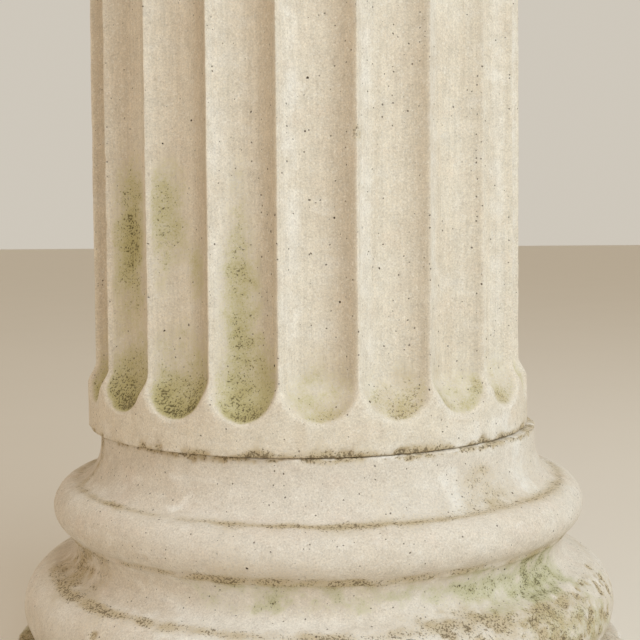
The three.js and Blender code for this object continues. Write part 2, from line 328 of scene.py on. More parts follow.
@dataclass
class Contour:
    """The outline that a casting is turned to, point by point from one joint face to the other."""

    CREASE_SPREAD = 6.5 * MM
    LEAST_FILL = 0.15 * MM
    LEAST_STEP_SHARE = 0.1
    EDGE_WEIGHTS = (1.0, 2.0, 3.0, 2.0, 1.0)

    step: float
    points: list[Span] = field(default_factory=list)
    squares: list[float] = field(default_factory=list)
    members: list[Member] = field(default_factory=list)

    def add(self, member: Member, radius: float, height: float, square: float = 0.0) -> None:
        """Adds one point, unless it lies on the last one.

        Args:
            member: The member that it lies on.
            radius: Distance from the axis.
            height: Height in the frame.
            square: 0 where the casting is round there, 1 where it is square.
        """
        least = self.LEAST_STEP_SHARE * self.step
        if self.points and math.dist(self.points[-1], (radius, height)) < least:
            return
        self.points.append((radius, height))
        self.squares.append(square)
        self.members.append(member)

    def line(
        self, member: Member, radius: float, height: float, square: float = 0.0, step: float = 0.0
    ) -> None:
        """Runs straight to a point.

        Args:
            member: The member that the line lies on.
            radius: Where it ends, from the axis.
            height: Where it ends, in height.
            square: How square it ends.
            step: Spacing of its points, or 0 for the contour's own.
        """
        start = (*self.points[-1], self.squares[-1])
        count = max(1, math.ceil(math.dist(start[:2], (radius, height)) / (step or self.step)))
        for i in range(1, count + 1):
            self.add(member, *(a + (b - a) * i / count for a, b in zip(start, (radius, height, square))))

    def arc(self, member: Member, centre: Span, semi: Span, turn: Span) -> None:
        """Follows an elliptical arc. In degrees, 0 is outwards, 90 up, 180 inwards and 270 down.

        Args:
            member: The member that it shapes.
            centre: Radius and height of its centre.
            semi: Its half width and half height.
            turn: The angles from which and to which it turns.
        """
        start, finish = turn
        square = self.squares[-1]
        length = math.radians(abs(finish - start)) * (semi[0] + semi[1]) / 2.0
        count = max(4, math.ceil(length / self.step))
        for i in range(count + 1):
            angle = math.radians(start + (finish - start) * i / count)
            out, rise = semi[0] * math.cos(angle), semi[1] * math.sin(angle)
            self.add(member, centre[0] + out, centre[1] + rise, square)

    def run(self) -> np.ndarray:
        """Gives each point's distance along the contour."""
        steps = np.linalg.norm(np.diff(np.array(self.points), axis=0), axis=1)
        return np.concatenate([[0.0], np.cumsum(steps)])

    def near(self, crease: Crease, reach: float) -> np.ndarray:
        """Tells how near each point lies to a crease.

        Args:
            crease: The crease.
            reach: How far its neighbourhood spreads.

        Returns:
            A column of 1 in the crease, falling to 0 away from it.
        """
        run = self.run()
        close = np.zeros(len(run))
        for i in range(1, len(run)):
            if tuple(self.members[i - 1 : i + 1]) == crease.members:
                close = np.maximum(close, bell(run - run[i], reach))
        return close[:, None]

    def fill(self, creases: Sequence[Crease]) -> None:
        """Rounds the casting's creases out.

        Args:
            creases: The creases.
        """
        outline = np.array(self.points)
        run = self.run()
        spacing = np.gradient(run)
        blurs = [crease.fill * self.near(crease, self.CREASE_SPREAD)[:, 0] for crease in creases]
        blur = np.max(blurs, axis=0)
        for i in np.flatnonzero(blur > self.LEAST_FILL):
            weight = spacing * np.exp(-0.5 * ((run - run[i]) / blur[i]) ** 2)
            out, level = weight @ outline / weight.sum()
            self.points[i] = (float(out), float(level))

    def on(self, *members: Member) -> np.ndarray:
        """Marks the points that lie on some members, softened over their ends.

        Args:
            *members: The members.

        Returns:
            A column of 1 on them and 0 elsewhere.
        """
        mask = np.array([1.0 if member in members else 0.0 for member in self.members])
        weights = np.array(self.EDGE_WEIGHTS) / sum(self.EDGE_WEIGHTS)
        return np.convolve(mask, weights, mode="same")[:, None]

    def scatter(
        self, rng: np.random.Generator, count: int, member: Member, reach: Span, span: Span
    ) -> list[Chip]:
        """Scatters chips over a round member.

        Args:
            rng: The casting's own random numbers.
            count: How many chips.
            member: Where they lie.
            reach: Smallest and largest reach of a chip.
            span: The part of the way round that they lie on, in degrees.

        Returns:
            The chips.
        """
        spots = [point for point, part in zip(self.points, self.members) if part is member]
        chips = []
        for _ in range(count):
            radius, level = spots[rng.integers(len(spots))]
            chips += chips_round(rng, 1, radius, (level, 0.0, 0.0), reach, span)
        return chips


@dataclass
class Casting:
    """A turned and squared casting, weathered all over."""

    BITE_SOIL = (0.2 * MM, 1.2 * MM)
    FACE_STEP = 40.0 * MM
    SLAB_STEP = 3.0 * MM

    node: str
    seed: int
    front_columns: int = 86
    back_columns: int = 42
    corner_power: float = 150.0
    swell: float = 0.35 * MM
    swell_feature: float = 70.0 * MM
    pitting: float = 0.16 * MM
    pit_feature: float = 9.0 * MM
    edge_ease: float = 1.6 * MM
    chip_soil: float = 0.0
    crust_soil: float = 0.0
    crusted: tuple[Member, ...] = ()

    def __post_init__(self) -> None:
        """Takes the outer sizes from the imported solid."""
        low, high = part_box(self.node)
        self.low, self.top = low.z, high.z
        self.axis = (low + high) / 2.0
        self.half_side = (high.x - low.x) / 2.0

    def draw_slab(self, drawn: Contour, start: float, finish: float) -> None:
        """Draws the side of a square slab and its two eased edges.

        Args:
            drawn: The contour so far, which it continues.
            start: Height that it comes from.
            finish: Height that it goes to.
        """
        way = math.copysign(1.0, finish - start)
        ease, side = self.edge_ease, self.half_side - self.edge_ease
        drawn.arc(Member.SLAB, (side, start + way * ease), (ease, ease), (-90.0 * way, 0.0))
        drawn.line(Member.SLAB, self.half_side, finish - way * 2.0 * ease, 1.0, step=self.SLAB_STEP)
        drawn.arc(Member.SLAB, (side, finish - way * ease), (ease, ease), (0.0, 90.0 * way))

    def columns(self) -> np.ndarray:
        """Angles of the columns, with one on every half quarter and more on the front.

        Returns:
            Angles in radians from the front, positive to the right.
        """
        eighth = TURN / 8.0
        angles: list[float] = []
        for i in range(-4, 4):
            count = self.front_columns if -2 <= i < 2 else self.back_columns
            angles.extend(eighth * (i + j / count) for j in range(count))
        return np.array(angles)

    def lay(self, contour: Contour) -> tuple[np.ndarray, np.ndarray]:
        """Turns a contour into rings.

        Args:
            contour: The casting's outline.

        Returns:
            The rings' points and the unit normals of the plain form.
        """
        angles = self.columns()
        outline = np.array(contour.points)
        along = np.gradient(outline, axis=0)
        along /= np.maximum(np.linalg.norm(along, axis=1, keepdims=True), 1e-9)
        if outline[0, 1] < outline[-1, 1]:
            along = -along
        square = np.array(contour.squares)[:, None]
        power = self.corner_power
        reach = (np.abs(np.cos(angles)) ** power + np.abs(np.sin(angles)) ** power) ** (-1.0 / power)
        rings = ring_points(outline[:, :1] * (1.0 + square * (reach - 1.0)), angles, outline[:, 1:])
        normals = ring_points(-along[:, 1:], angles, along[:, :1])
        return rings + np.array([self.axis.x, self.axis.y, 0.0]), normals

    def weather(self, contour: Contour, chips: Sequence[Chip]) -> tuple[np.ndarray, np.ndarray, np.ndarray]:
        """Wears the plain form, apart from the joint faces and the underside.

        Args:
            contour: The casting's outline.
            chips: Bites out of it.

        Returns:
            The plain points, the worn points, and the depth of the chips at each.
        """
        rings, normals = self.lay(contour)
        free = np.array([0.0 if member is Member.FACE else 1.0 for member in contour.members])[:, None]
        noise = WearNoise(self.seed)
        depth = self.swell * (noise.fractal(rings, self.swell_feature, 3) - 0.6)
        depth += self.pitting * noise.fractal(rings, self.pit_feature, 2)
        bites = carve(chips, rings, noise.sample(rings, 2.0 * MM)) * free
        return rings, rings + normals * (np.minimum(depth, 0.0) * free - bites)[..., None], bites

    def build(self, finish: "CastStone") -> bpy.types.Object:
        """Makes the casting.

        Args:
            finish: The stone it is cast in.

        Returns:
            The dressed piece.
        """
        contour = self.contour()
        chips = self.chips(contour, np.random.default_rng(self.seed))
        plain, worn, bites = self.weather(contour, chips)
        laid = self.stains(contour, plain)
        grime = self.chip_soil + self.crust_soil * contour.on(*self.crusted)
        laid[Stain.SOIL] = np.clip(laid[Stain.SOIL] + grime * smooth(bites, *self.BITE_SOIL), 0.0, 1.0)
        return Skin(f"column_{self.node}", worn, laid).piece(self.node, finish.material())


@dataclass(frozen=True)
class Patch:
    """A stain on some members, in spots on the way round that each have a centre, reach and strength."""

    stain: Stain
    members: tuple[Member, ...]
    spots: tuple[Point, ...]


@dataclass
class Base(Casting):
    """The Attic base, cast in one with its square plinth."""

    TORUS_TUCK = -84.0
    CAVETTO_TURN = (180.0, 262.0)
    # Soil and painted shade along the creases: a narrow line and a wider halo, each a reach and a strength.
    CREASE_LINE = (3.4 * MM, 0.80)
    CREASE_HALO = (8.0 * MM, 0.45)
    SCOTIA_FOOT = 13.0 * MM
    FLATTENING = (1.0, 1.0, 2.2)

    node: str = "base"
    seed: int = 11
    chip_soil: float = 0.15
    crust_soil: float = 0.60
    crusted: tuple[Member, ...] = (Member.LOWER_TORUS, Member.FILLET)
    plinth_height: float = 50.0 * MM
    lower_torus_height: float = 49.0 * MM
    lower_torus_bulge: float = 22.5 * MM
    lower_torus_projection: float = 20.5 * MM
    scotia_height: float = 25.0 * MM
    scotia_hollow: float = 5.0 * MM
    scotia_fillet: float = 1.2 * MM
    scotia_waist: float = 0.6
    scotia_foot_projection: float = 11.5 * MM
    scotia_head_projection: float = 7.5 * MM
    upper_torus_height: float = 31.0 * MM
    upper_torus_bulge: float = 15.7 * MM
    cavetto_height: float = 27.0 * MM
    cavetto_projection: float = 16.0 * MM
    plinth_margin: float = 2.0 * MM
    creases: tuple[Crease, ...] = (
        Crease((Member.CAVETTO, Member.UPPER_TORUS), 1.2 * MM, 0.42, ((-52.0, 22.0, 0.7), (0.0, 30.0, 0.6))),
        Crease((Member.UPPER_TORUS, Member.SCOTIA), 1.5 * MM, 0.50, ((14.0, 16.0, 0.5), (-16.0, 26.0, 0.35))),
        Crease((Member.SCOTIA, Member.LOWER_TORUS), 5.0 * MM, 0.25, ((-42.0, 36.0, 0.7), (-2.0, 24.0, 0.4))),
        # Painted contact shadow where the lower torus sits on the plinth.
        Crease((Member.LOWER_TORUS, Member.LEDGE), 1.0 * MM, 1.0),
    )
    patches: tuple[Patch, ...] = (
        Patch(Stain.ALGAE, (Member.SCOTIA,), ((40.0, 42.0, 0.40), (54.0, 13.0, 0.35), (-8.0, 36.0, 0.34))),
        Patch(Stain.ALGAE, (Member.SCOTIA,), ((180.0, 140.0, 0.30),)),
        Patch(Stain.ALGAE, (Member.LOWER_TORUS,), ((50.0, 44.0, 0.35),)),
        Patch(Stain.ALGAE, (Member.LEDGE,), ((-60.0, 120.0, 0.60),)),
        Patch(Stain.SOIL, (Member.FILLET, Member.CAVETTO), ((-72.0, 5.0, 0.8),)),
        Patch(Stain.SOIL, (Member.CAVETTO,), ((42.0, 14.0, 0.28),)),
        Patch(Stain.SOIL, (Member.SCOTIA,), ((-62.0, 24.0, 0.55),)),
        Patch(Stain.SOIL, (Member.LOWER_TORUS,), ((44.0, 48.0, 0.36),)),
        # Soil and painted shade on the plinth's top.
        Patch(Stain.SOIL, (Member.LEDGE,), ((-60.0, 100.0, 0.75), (100.0, 110.0, 0.40))),
        Patch(Stain.PALE, (Member.CAVETTO, Member.FILLET), ((58.0, 9.0, 0.5),)),
        Patch(Stain.PALE, (Member.CAVETTO,), ((-33.0, 7.0, 0.25), (33.0, 4.5, 0.7))),
        Patch(Stain.PALE, (Member.SCOTIA,), ((-33.0, 20.0, 0.5),)),
        Patch(Stain.PALE, (Member.LOWER_TORUS,), ((4.0, 52.0, 1.0),)),
        # Painted shade on the left side of the cavetto, upper torus and scotia, away from the light.
        Patch(Stain.DULL, (Member.CAVETTO, Member.UPPER_TORUS, Member.SCOTIA), ((-78.0, 45.0, 0.55),)),
    )
    torus_chips: tuple[tuple[int, Member, Span, Span], ...] = (
        (16, Member.UPPER_TORUS, (1.5 * MM, 3.5 * MM), ALL_ROUND),
        (60, Member.LOWER_TORUS, (1.5 * MM, 6.0 * MM), ALL_ROUND),
        (260, Member.LOWER_TORUS, (1.4 * MM, 6.0 * MM), (16.0, 86.0)),
    )

    def __post_init__(self) -> None:
        """Works out the radii and heights of the members from the outer sizes."""
        super().__post_init__()
        self.lower_radius = self.half_side - self.plinth_margin
        self.lower_centre = self.lower_radius - self.lower_torus_bulge
        self.upper_centre = self.lower_radius - self.lower_torus_projection - self.upper_torus_bulge
        self.top_radius = self.upper_centre - self.cavetto_projection
        self.lower_top = self.plinth_height + self.lower_torus_height
        self.scotia_top = self.lower_top + self.scotia_height
        self.upper_top = self.scotia_top + self.upper_torus_height

    def contour(self) -> Contour:
        """Draws the outline from the joint down to the underside.

        Returns:
            The contour.
        """
        drawn = Contour(step=1.6 * MM)
        ease = self.edge_ease
        drawn.add(Member.FACE, 0.4 * self.top_radius, self.top)
        drawn.line(Member.FACE, self.top_radius - 3.0 * ease, self.top, step=self.FACE_STEP)
        drawn.arc(Member.FILLET, (self.top_radius - ease, self.top - ease), (ease, ease), (90.0, 0.0))
        cavetto_top = self.upper_top + self.cavetto_height
        drawn.line(Member.FILLET, self.top_radius, cavetto_top)
        hollow = (self.cavetto_projection, self.cavetto_height)
        drawn.arc(Member.CAVETTO, (self.upper_centre, cavetto_top), hollow, self.CAVETTO_TURN)
        self.draw_tori(drawn)
        drawn.line(Member.LEDGE, self.lower_centre + 1.0 * MM, self.plinth_height, 0.0, step=2.0 * MM)
        drawn.line(Member.LEDGE, self.half_side - 2.0 * ease, self.plinth_height, 1.0, step=2.5 * MM)
        self.draw_slab(drawn, self.plinth_height, 0.0)
        drawn.line(Member.FACE, 0.4 * self.half_side, 0.0, 1.0, step=self.FACE_STEP)
        drawn.fill(self.creases)
        return drawn

    def draw_tori(self, drawn: Contour) -> None:
        """Draws the two tori with the scotia between them.

        Args:
            drawn: The contour so far, which they continue.
        """
        head = self.upper_centre + self.scotia_head_projection
        foot = head + self.scotia_foot_projection
        seat = math.degrees(math.acos(self.scotia_head_projection / self.upper_torus_bulge))
        semi = (self.upper_torus_bulge, self.upper_torus_height / 2.0)
        drawn.arc(Member.UPPER_TORUS, (self.upper_centre, self.upper_top - semi[1]), semi, (90.0, -seat))
        hollow_top = self.scotia_top - self.scotia_fillet
        hollow_foot = self.lower_top + self.scotia_fillet
        waist = hollow_foot + (hollow_top - hollow_foot) * self.scotia_waist
        deepest = head - self.scotia_hollow
        drawn.line(Member.SCOTIA, head, hollow_top)
        drawn.arc(Member.SCOTIA, (head, waist), (self.scotia_hollow, hollow_top - waist), (90.0, 180.0))
        drawn.arc(Member.SCOTIA, (foot, waist), (foot - deepest, waist - hollow_foot), (180.0, 270.0))
        seat = math.degrees(math.acos((foot - self.lower_centre) / self.lower_torus_bulge))
        semi = (self.lower_torus_bulge, self.lower_torus_height / 2.0)
        middle = self.lower_top - semi[1]
        drawn.arc(Member.LOWER_TORUS, (self.lower_centre, middle), semi, (seat, self.TORUS_TUCK))

    def stains(self, contour: Contour, rings: np.ndarray) -> dict[Stain, np.ndarray]:
        """Lays the weather's stains on the base, with its painted shade and painted highlights.

        Args:
            contour: Its outline.
            rings: Its points.

        Returns:
            Each stain's strength at every point.
        """
        noise = WearNoise(self.seed + 1)
        angles = np.degrees(self.columns())[None, :]
        flat = rings * np.array(self.FLATTENING)
        broad = noise.fractal(flat, 60.0 * MM, 3)
        close = noise.fractal(flat, 12.0 * MM, 3)
        grainy = 0.6 * noise.fractal(rings, 4.5 * MM, 2)
        laid = {stain: np.zeros(rings.shape[:2]) for stain in Stain}
        # Darkens each crease with soil and painted shade.
        for crease in self.creases:
            (line, line_soil), (halo, halo_soil) = self.CREASE_LINE, self.CREASE_HALO
            soil = line_soil * contour.near(crease, line) * np.clip(0.9 + 0.5 * close, 0.4, 1.3)
            soil += halo_soil * contour.near(crease, halo) * smooth(broad + close, -0.6, 1.0)
            laid[Stain.SOIL] += soil * crease.dirt_and_shade(angles)
        patchy = np.clip(0.9 + 0.6 * close + 0.4 * broad + grainy, 0.0, 2.0)
        for patch in self.patches:
            laid[patch.stain] += contour.on(*patch.members) * patchwork(angles, patch.spots) * patchy
        scotia = contour.on(Member.SCOTIA)
        rise = rings[..., 2] - self.lower_top
        foot = 1.0 - smooth(rise, 1.0 * MM, self.SCOTIA_FOOT)
        foot *= 1.0 - smooth(np.abs(angles - 2.0), 22.0, 40.0)
        laid[Stain.ALGAE] *= 1.0 - foot
        specked = scotia * around(angles, 27.0, 22.0) * (1.0 - smooth(rise, 0.0, self.SCOTIA_FOOT))
        laid[Stain.SOIL] += 0.55 * specked * np.clip(0.8 + 0.8 * close + grainy, 0.0, 1.6)
        # Painted highlight on the front of the scotia's lower, upward-facing part.
        laid[Stain.PALE] += 0.6 * foot * scotia * around(angles, -6.0, 42.0)
        tori = contour.on(Member.CAVETTO, Member.UPPER_TORUS, Member.LOWER_TORUS)
        laid[Stain.SOIL] += 0.16 * tori * smooth(broad, 0.1, 0.9)
        laid[Stain.PALE] += 0.35 * tori * smooth(close - 0.5 * broad, 0.2, 0.9)
        # Painted highlight along the plinth's upper edge.
        slab_edge_highlight = contour.on(Member.SLAB) * bell(rings[..., 2] - self.plinth_height, 5.0 * MM)
        joint = bell(rings[..., 2] - self.top, 3.0 * MM)
        crumbly = np.clip(0.60 + 0.9 * close, 0.0, 1.2) * (0.7 + 0.5 * around(angles, -15.0, 40.0))
        laid[Stain.SOIL] += joint * crumbly
        laid[Stain.PALE] += 0.55 * slab_edge_highlight + 0.35 * joint * smooth(-close, 0.0, 0.6)
        return laid

    def chips(self, contour: Contour, rng: np.random.Generator) -> list[Chip]:
        """Chips the joint's edge, the tori, the upper torus's underside and the plinth.

        Args:
            contour: The base's outline.
            rng: Its own random numbers.

        Returns:
            The chips.
        """
        edge = (self.top, 0.5 * MM, 2.5 * MM)
        notch = (self.top, 0.0, 3.0 * MM)
        chips = chips_round(rng, 300, self.top_radius, edge, (1.6 * MM, 5.0 * MM))
        chips += chips_round(rng, 1, self.top_radius, notch, (6.0 * MM, 6.0 * MM), (-73.0, -71.0))
        for count, member, reach, span in self.torus_chips:
            chips += contour.scatter(rng, count, member, reach, span)
        undercut = self.upper_centre + self.scotia_head_projection
        beneath = (self.scotia_top, 1.0 * MM, 1.5 * MM)
        chips += chips_round(rng, 14, undercut, beneath, (1.4 * MM, 3.0 * MM), (7.0, 25.0))
        for _ in range(40):
            along = rng.uniform(-self.half_side, self.half_side)
            quarter = Matrix.Rotation(rng.integers(4) * TURN / 4.0, 3, "Z")
            size = rng.uniform(3.0 * MM, 8.0 * MM)
            place = quarter @ Vector((along, -self.half_side, self.plinth_height))
            chips.append(Chip(tuple(place), size, 0.35 * size))
        return chips


@dataclass
class Capital(Casting):
    """The plain capital: astragal, necking, annulets, echinus and square abacus in one casting."""

    NOTCH = 0.4 * MM

    node: str = "capital"
    seed: int = 31
    front_columns: int = 50
    back_columns: int = 50
    astragal_height: float = 12.0 * MM
    necking_height: float = 34.0 * MM
    band_projection: float = 4.0 * MM
    annulet_count: int = 3
    annulet_height: float = 5.0 * MM
    annulet_step: float = 4.0 * MM
    echinus_height: float = 40.0 * MM
    echinus_projection: float = 38.0 * MM
    abacus_margin: float = 6.0 * MM
    edge_ease: float = 2.2 * MM
    creases: tuple[Crease, ...] = (
        Crease((Member.BEAD, Member.NECKING), 1.0 * MM, 0.5),
        Crease((Member.NECKING, Member.ANNULET), 0.4 * MM, 0.5),
        Crease((Member.ANNULET, Member.ECHINUS), 0.3 * MM, 0.4),
        Crease((Member.ECHINUS, Member.LEDGE), 1.0 * MM, 0.6),
    )

    def __post_init__(self) -> None:
        """Works out the radii of the echinus and the neck from the outer sizes."""
        super().__post_init__()
        self.echinus_radius = self.half_side - self.abacus_margin
        inset = self.echinus_projection + self.annulet_count * self.annulet_step
        self.neck_radius = self.echinus_radius - inset

    def contour(self) -> Contour:
        """Draws the outline from the joint up to the abacus's top.

        Returns:
            The contour.
        """
        drawn = Contour(step=1.8 * MM)
        bead = self.astragal_height / 2.0
        centre = (self.neck_radius + self.band_projection, self.low + bead)
        drawn.add(Member.FACE, 0.4 * self.neck_radius, self.low)
        drawn.line(Member.FACE, self.neck_radius, self.low, step=self.FACE_STEP)
        drawn.arc(Member.BEAD, centre, (bead, bead), (-90.0, 90.0))
        drawn.line(Member.NECKING, self.neck_radius, self.low + self.astragal_height + self.band_projection)
        annulets = self.low + self.astragal_height + self.necking_height
        notch = self.NOTCH
        for i in range(self.annulet_count):
            under = annulets + i * self.annulet_height
            inner = self.neck_radius + i * self.annulet_step
            outer = inner + self.annulet_step
            drawn.line(Member.ANNULET if i else Member.NECKING, inner, under - notch)
            drawn.line(Member.ANNULET, outer - notch, under, step=3.0 * notch)
            drawn.line(Member.ANNULET, outer, under + notch)
        abacus = annulets + self.annulet_count * self.annulet_height + self.echinus_height
        centre = (self.echinus_radius - self.echinus_projection, abacus)
        drawn.arc(Member.ECHINUS, centre, (self.echinus_projection, self.echinus_height), (-90.0, 0.0))
        drawn.line(Member.LEDGE, self.half_side - 2.0 * self.edge_ease, abacus, 1.0, step=1.2 * MM)
        self.draw_slab(drawn, abacus, self.top)
        drawn.line(Member.FACE, 0.04 * self.half_side, self.top, 1.0, step=7.0 * MM)
        drawn.fill(self.creases)
        return drawn

    def stains(self, contour: Contour, rings: np.ndarray) -> dict[Stain, np.ndarray]:
        """Lays the weather's stains on the capital, with painted shade in its creases.

        Args:
            contour: Its outline.
            rings: Its points.

        Returns:
            Each stain's strength at every point.
        """
        noise = WearNoise(self.seed + 1)
        broad = noise.fractal(rings, 60.0 * MM, 3)
        close = noise.fractal(rings, 14.0 * MM, 3)
        upper = smooth(rings[..., 2], self.top - 12.0 * MM, self.top)
        soil = 0.40 * upper * smooth(broad, -0.3, 0.8)
        # Each crease darkened with soil and painted shade.
        for crease in self.creases:
            soil += crease.soil * contour.near(crease, 2.0 * MM) * (0.7 + 0.5 * close)
        algae = 0.3 * contour.on(Member.NECKING, Member.LEDGE) * smooth(broad, 0.0, 0.9)
        algae += 0.4 * upper * smooth(close + broad, -0.2, 1.2)
        return {Stain.ALGAE: algae, Stain.SOIL: soil, Stain.PALE: 0.4 * smooth(broad, 0.2, 1.0)}

    def chips(self, _: Contour, rng: np.random.Generator) -> list[Chip]:
        """Chips the edge of the joint under the astragal."""
        edge = (self.low, 1.5 * MM, 1.5 * MM)
        return chips_round(rng, 60, self.neck_radius + self.band_projection, edge, (2.0 * MM, 5.0 * MM))


@dataclass(frozen=True)
class Smear:
    """A smear of algae on the shaft: its angle and reach in degrees, its level, height and strength."""

    angle: float
    reach: float
    level: float
    height: float
    strength: float


@dataclass(frozen=True)
class Fluting:
    """The plain fluted form at each ring and column, its angles in radians from the front.

    Inside is how far a point lies within its flute's rim, centre the angle of the flute's centre line and
    facing the way that the surface looks.
    """

    level: np.ndarray
    angle: np.ndarray
    radius: np.ndarray
    inside: np.ndarray
    centre: np.ndarray
    depth: np.ndarray
    facing: np.ndarray


@dataclass
class Shaft:
    """The fluted shaft: hollow flutes with round ends between two plain bands."""

    CROWDING = math.radians(62.0)
    REARMOST_FRONT = -0.1
    EVEN_SHARE = 0.86
    BAND_OVERLAP = (10.0 * MM, 1.0 * MM)
    PLAINER_FROM = (290.0 * MM, 420.0 * MM)
    WANDER = 0.0016
    TALLNESS = (1.0, 1.0, 0.5)
    CRUMBLY_SPOTS = ((-15.0, 32.0, 0.5), (52.0, 22.0, 0.5))
    PALE_SPOTS = ((40.0, 12.0, 0.8), (56.0, 15.0, 0.9), (-38.0, 12.0, 0.3))

    node: str = "shaft"
    seed: int = 21
    flutes: int = 20
    flute_turn: float = math.radians(-4.2)
    flute_depth: float = 11.0 * MM
    foot_diameter: float = 288.6 * MM
    head_diameter: float = 250.0 * MM
    entasis_power: float = 1.6
    head_band_projection: float = 4.0 * MM
    # The side the light comes from: flute walls facing it are painted paler, those facing away darker.
    lit_side: float = math.radians(55.0)
    foot_band_height: float = 17.5 * MM
    head_band_height: float = 20.0 * MM
    band_flare_height: float = 14.0 * MM
    flare_overrun: float = 3.5 * MM
    edge_ease: float = 1.5 * MM
    arris_land: float = 0.5 * MM
    arris_round: float = 0.7 * MM
    front_columns: int = 23
    back_columns: int = 12
    land_columns: int = 4
    smears: tuple[Smear, ...] = (
        Smear(-52.5, 8.0, 124.0 * MM, 46.0 * MM, 0.85),
        Smear(-36.5, 9.0, 138.0 * MM, 32.0 * MM, 0.55),
        Smear(-28.0, 5.0, 108.0 * MM, 16.0 * MM, 0.40),
        Smear(-15.0, 9.0, 84.0 * MM, 62.0 * MM, 0.33),
        Smear(-16.0, 5.0, 130.0 * MM, 55.0 * MM, 0.15),
    )
    seen_shifts: tuple[float, ...] = (-0.9, 0.2, 0.5, -0.75, -0.5, 0.0, 0.2)
    first_seen_arris: float = -58.2

    def __post_init__(self) -> None:
        """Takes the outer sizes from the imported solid."""
        low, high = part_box(self.node)
        self.low = low.z
        self.height = high.z - low.z
        self.axis = (low + high) / 2.0
        self.band_radius = (high.x - low.x) / 2.0
        self.half_flute = math.pi / self.flutes
        self.foot_end = self.arris(np.array(self.foot_band_height)) * math.sin(self.half_flute)
        self.head_end = self.arris(np.array(self.height - self.head_band_height)) * math.sin(self.half_flute)
        self.foot_centre = self.foot_band_height + self.foot_end
        self.head_centre = self.height - self.head_band_height - self.head_end

    def arris(self, level: np.ndarray) -> np.ndarray:
        """Gives the arrises' radius at heights on the shaft, tapering with a slight swell."""
        share = (level / self.height) ** self.entasis_power
        return (self.foot_diameter + (self.head_diameter - self.foot_diameter) * share) / 2.0

    def envelope(self, level: np.ndarray) -> np.ndarray:
        """Finds the radius between the flutes: the arrises, flaring out into the plain bands.

        Args:
            level: Heights above the shaft's foot.

        Returns:
            Radii.
        """
        flare_top = self.foot_centre + self.flare_overrun
        foot = 1.0 - smooth(level, flare_top - self.band_flare_height, flare_top)
        flare_foot = self.head_centre - self.flare_overrun
        head = smooth(level, flare_foot, flare_foot + self.band_flare_height)
        plain = self.arris(level)
        flared = plain + (self.band_radius - plain) * foot
        return flared + (self.head_diameter / 2.0 + self.head_band_projection - flared) * head

    def levels(self) -> np.ndarray:
        """Sets the rings' heights: close where the photographed foot and the flutes' ends are.

        Returns:
            Heights above the shaft's foot, rising.
        """
        head = self.height
        spans = [
            (0.0, 3.0 * MM, 0.6 * MM),
            (3.0 * MM, 14.0 * MM, 1.5 * MM),
            (14.0 * MM, 46.0 * MM, 1.15 * MM),
            (46.0 * MM, 270.0 * MM, 3.0 * MM),
            (270.0 * MM, 500.0 * MM, 8.0 * MM),
            (500.0 * MM, head - 60.0 * MM, 40.0 * MM),
            (head - 60.0 * MM, head - 3.0 * MM, 1.8 * MM),
            (head - 3.0 * MM, head, 0.75 * MM),
        ]
        levels = [np.arange(start, stop - 0.1 * step, step) for start, stop, step in spans]
        return np.concatenate([*levels, [head]])

    def across(self) -> tuple[np.ndarray, np.ndarray, np.ndarray]:
        """Places the columns of every ring, on the flutes' hollows and on the lands between them.

        Returns:
            For each column: the angle of its flute's centre line, its place across the flute as a share of
            the half width from -1 to 1, and its place over the land from 0 to 1.
        """
        centres, shares, lands = [], [], []
        land = np.linspace(0.0, 1.0, self.land_columns + 1)[1:-1]
        for flute in range(self.flutes):
            centre = self.flute_turn + (2 * flute + 1) * self.half_flute
            count = self.front_columns if math.cos(centre) > self.REARMOST_FRONT else self.back_columns
            share = np.sin(np.linspace(-1.0, 1.0, count) * self.CROWDING) / math.sin(self.CROWDING)
            shares.extend([*share, *np.ones(len(land))])
            lands.extend([*np.zeros(count), *land])
            centres.extend([centre] * (count + len(land)))
        return np.array(centres), np.array(shares), np.array(lands)

    def edge_half_width(self, level: np.ndarray, envelope: np.ndarray) -> np.ndarray:
        """Finds the flutes' half width at each level, closing to nothing over their round ends.

        Args:
            level: Heights of the rings.
            envelope: Radius between the flutes there.

        Returns:
            Half widths.
        """
        open_width = envelope * math.sin(self.half_flute) - self.arris_land
        below = np.clip(self.foot_centre - level, 0.0, None)
        above = np.clip(level - self.head_centre, 0.0, None)
        foot = np.sqrt(np.clip(self.foot_end**2 - below**2, 0.0, None)) - self.arris_land
        head = np.sqrt(np.clip(self.head_end**2 - above**2, 0.0, None)) - self.arris_land
        width = np.where(below > 0.0, foot, np.where(above > 0.0, head, open_width))
        return np.clip(np.minimum(width, open_width), 0.0, None)

    def hollow(self, level: np.ndarray, offset: np.ndarray, end: np.ndarray) -> tuple[np.ndarray, np.ndarray]:
        """Finds the flutes' depth below the chord between their edges.

        Args:
            level: Heights of the points.
            offset: Distances across from their flute's centre line.
            end: Half width of the open flute at their level.

        Returns:
            The depths, and how far inside the flute's rim each point lies.
        """
        beyond = np.clip(self.foot_centre - level, 0.0, None) + np.clip(level - self.head_centre, 0.0, None)
        away = np.hypot(offset, beyond)
        radius = self.flute_radius(end)
        rim = np.sqrt(np.clip(radius**2 - end**2, 0.0, None))
        depth = np.sqrt(np.clip(radius**2 - np.minimum(away, end) ** 2, 0.0, None)) - rim
        return depth, end - away

    def flute_radius(self, end: np.ndarray) -> np.ndarray:
        """Gives the radius of the flutes' round hollow, from half their width."""
        return (end**2 + self.flute_depth**2) / (2.0 * self.flute_depth)

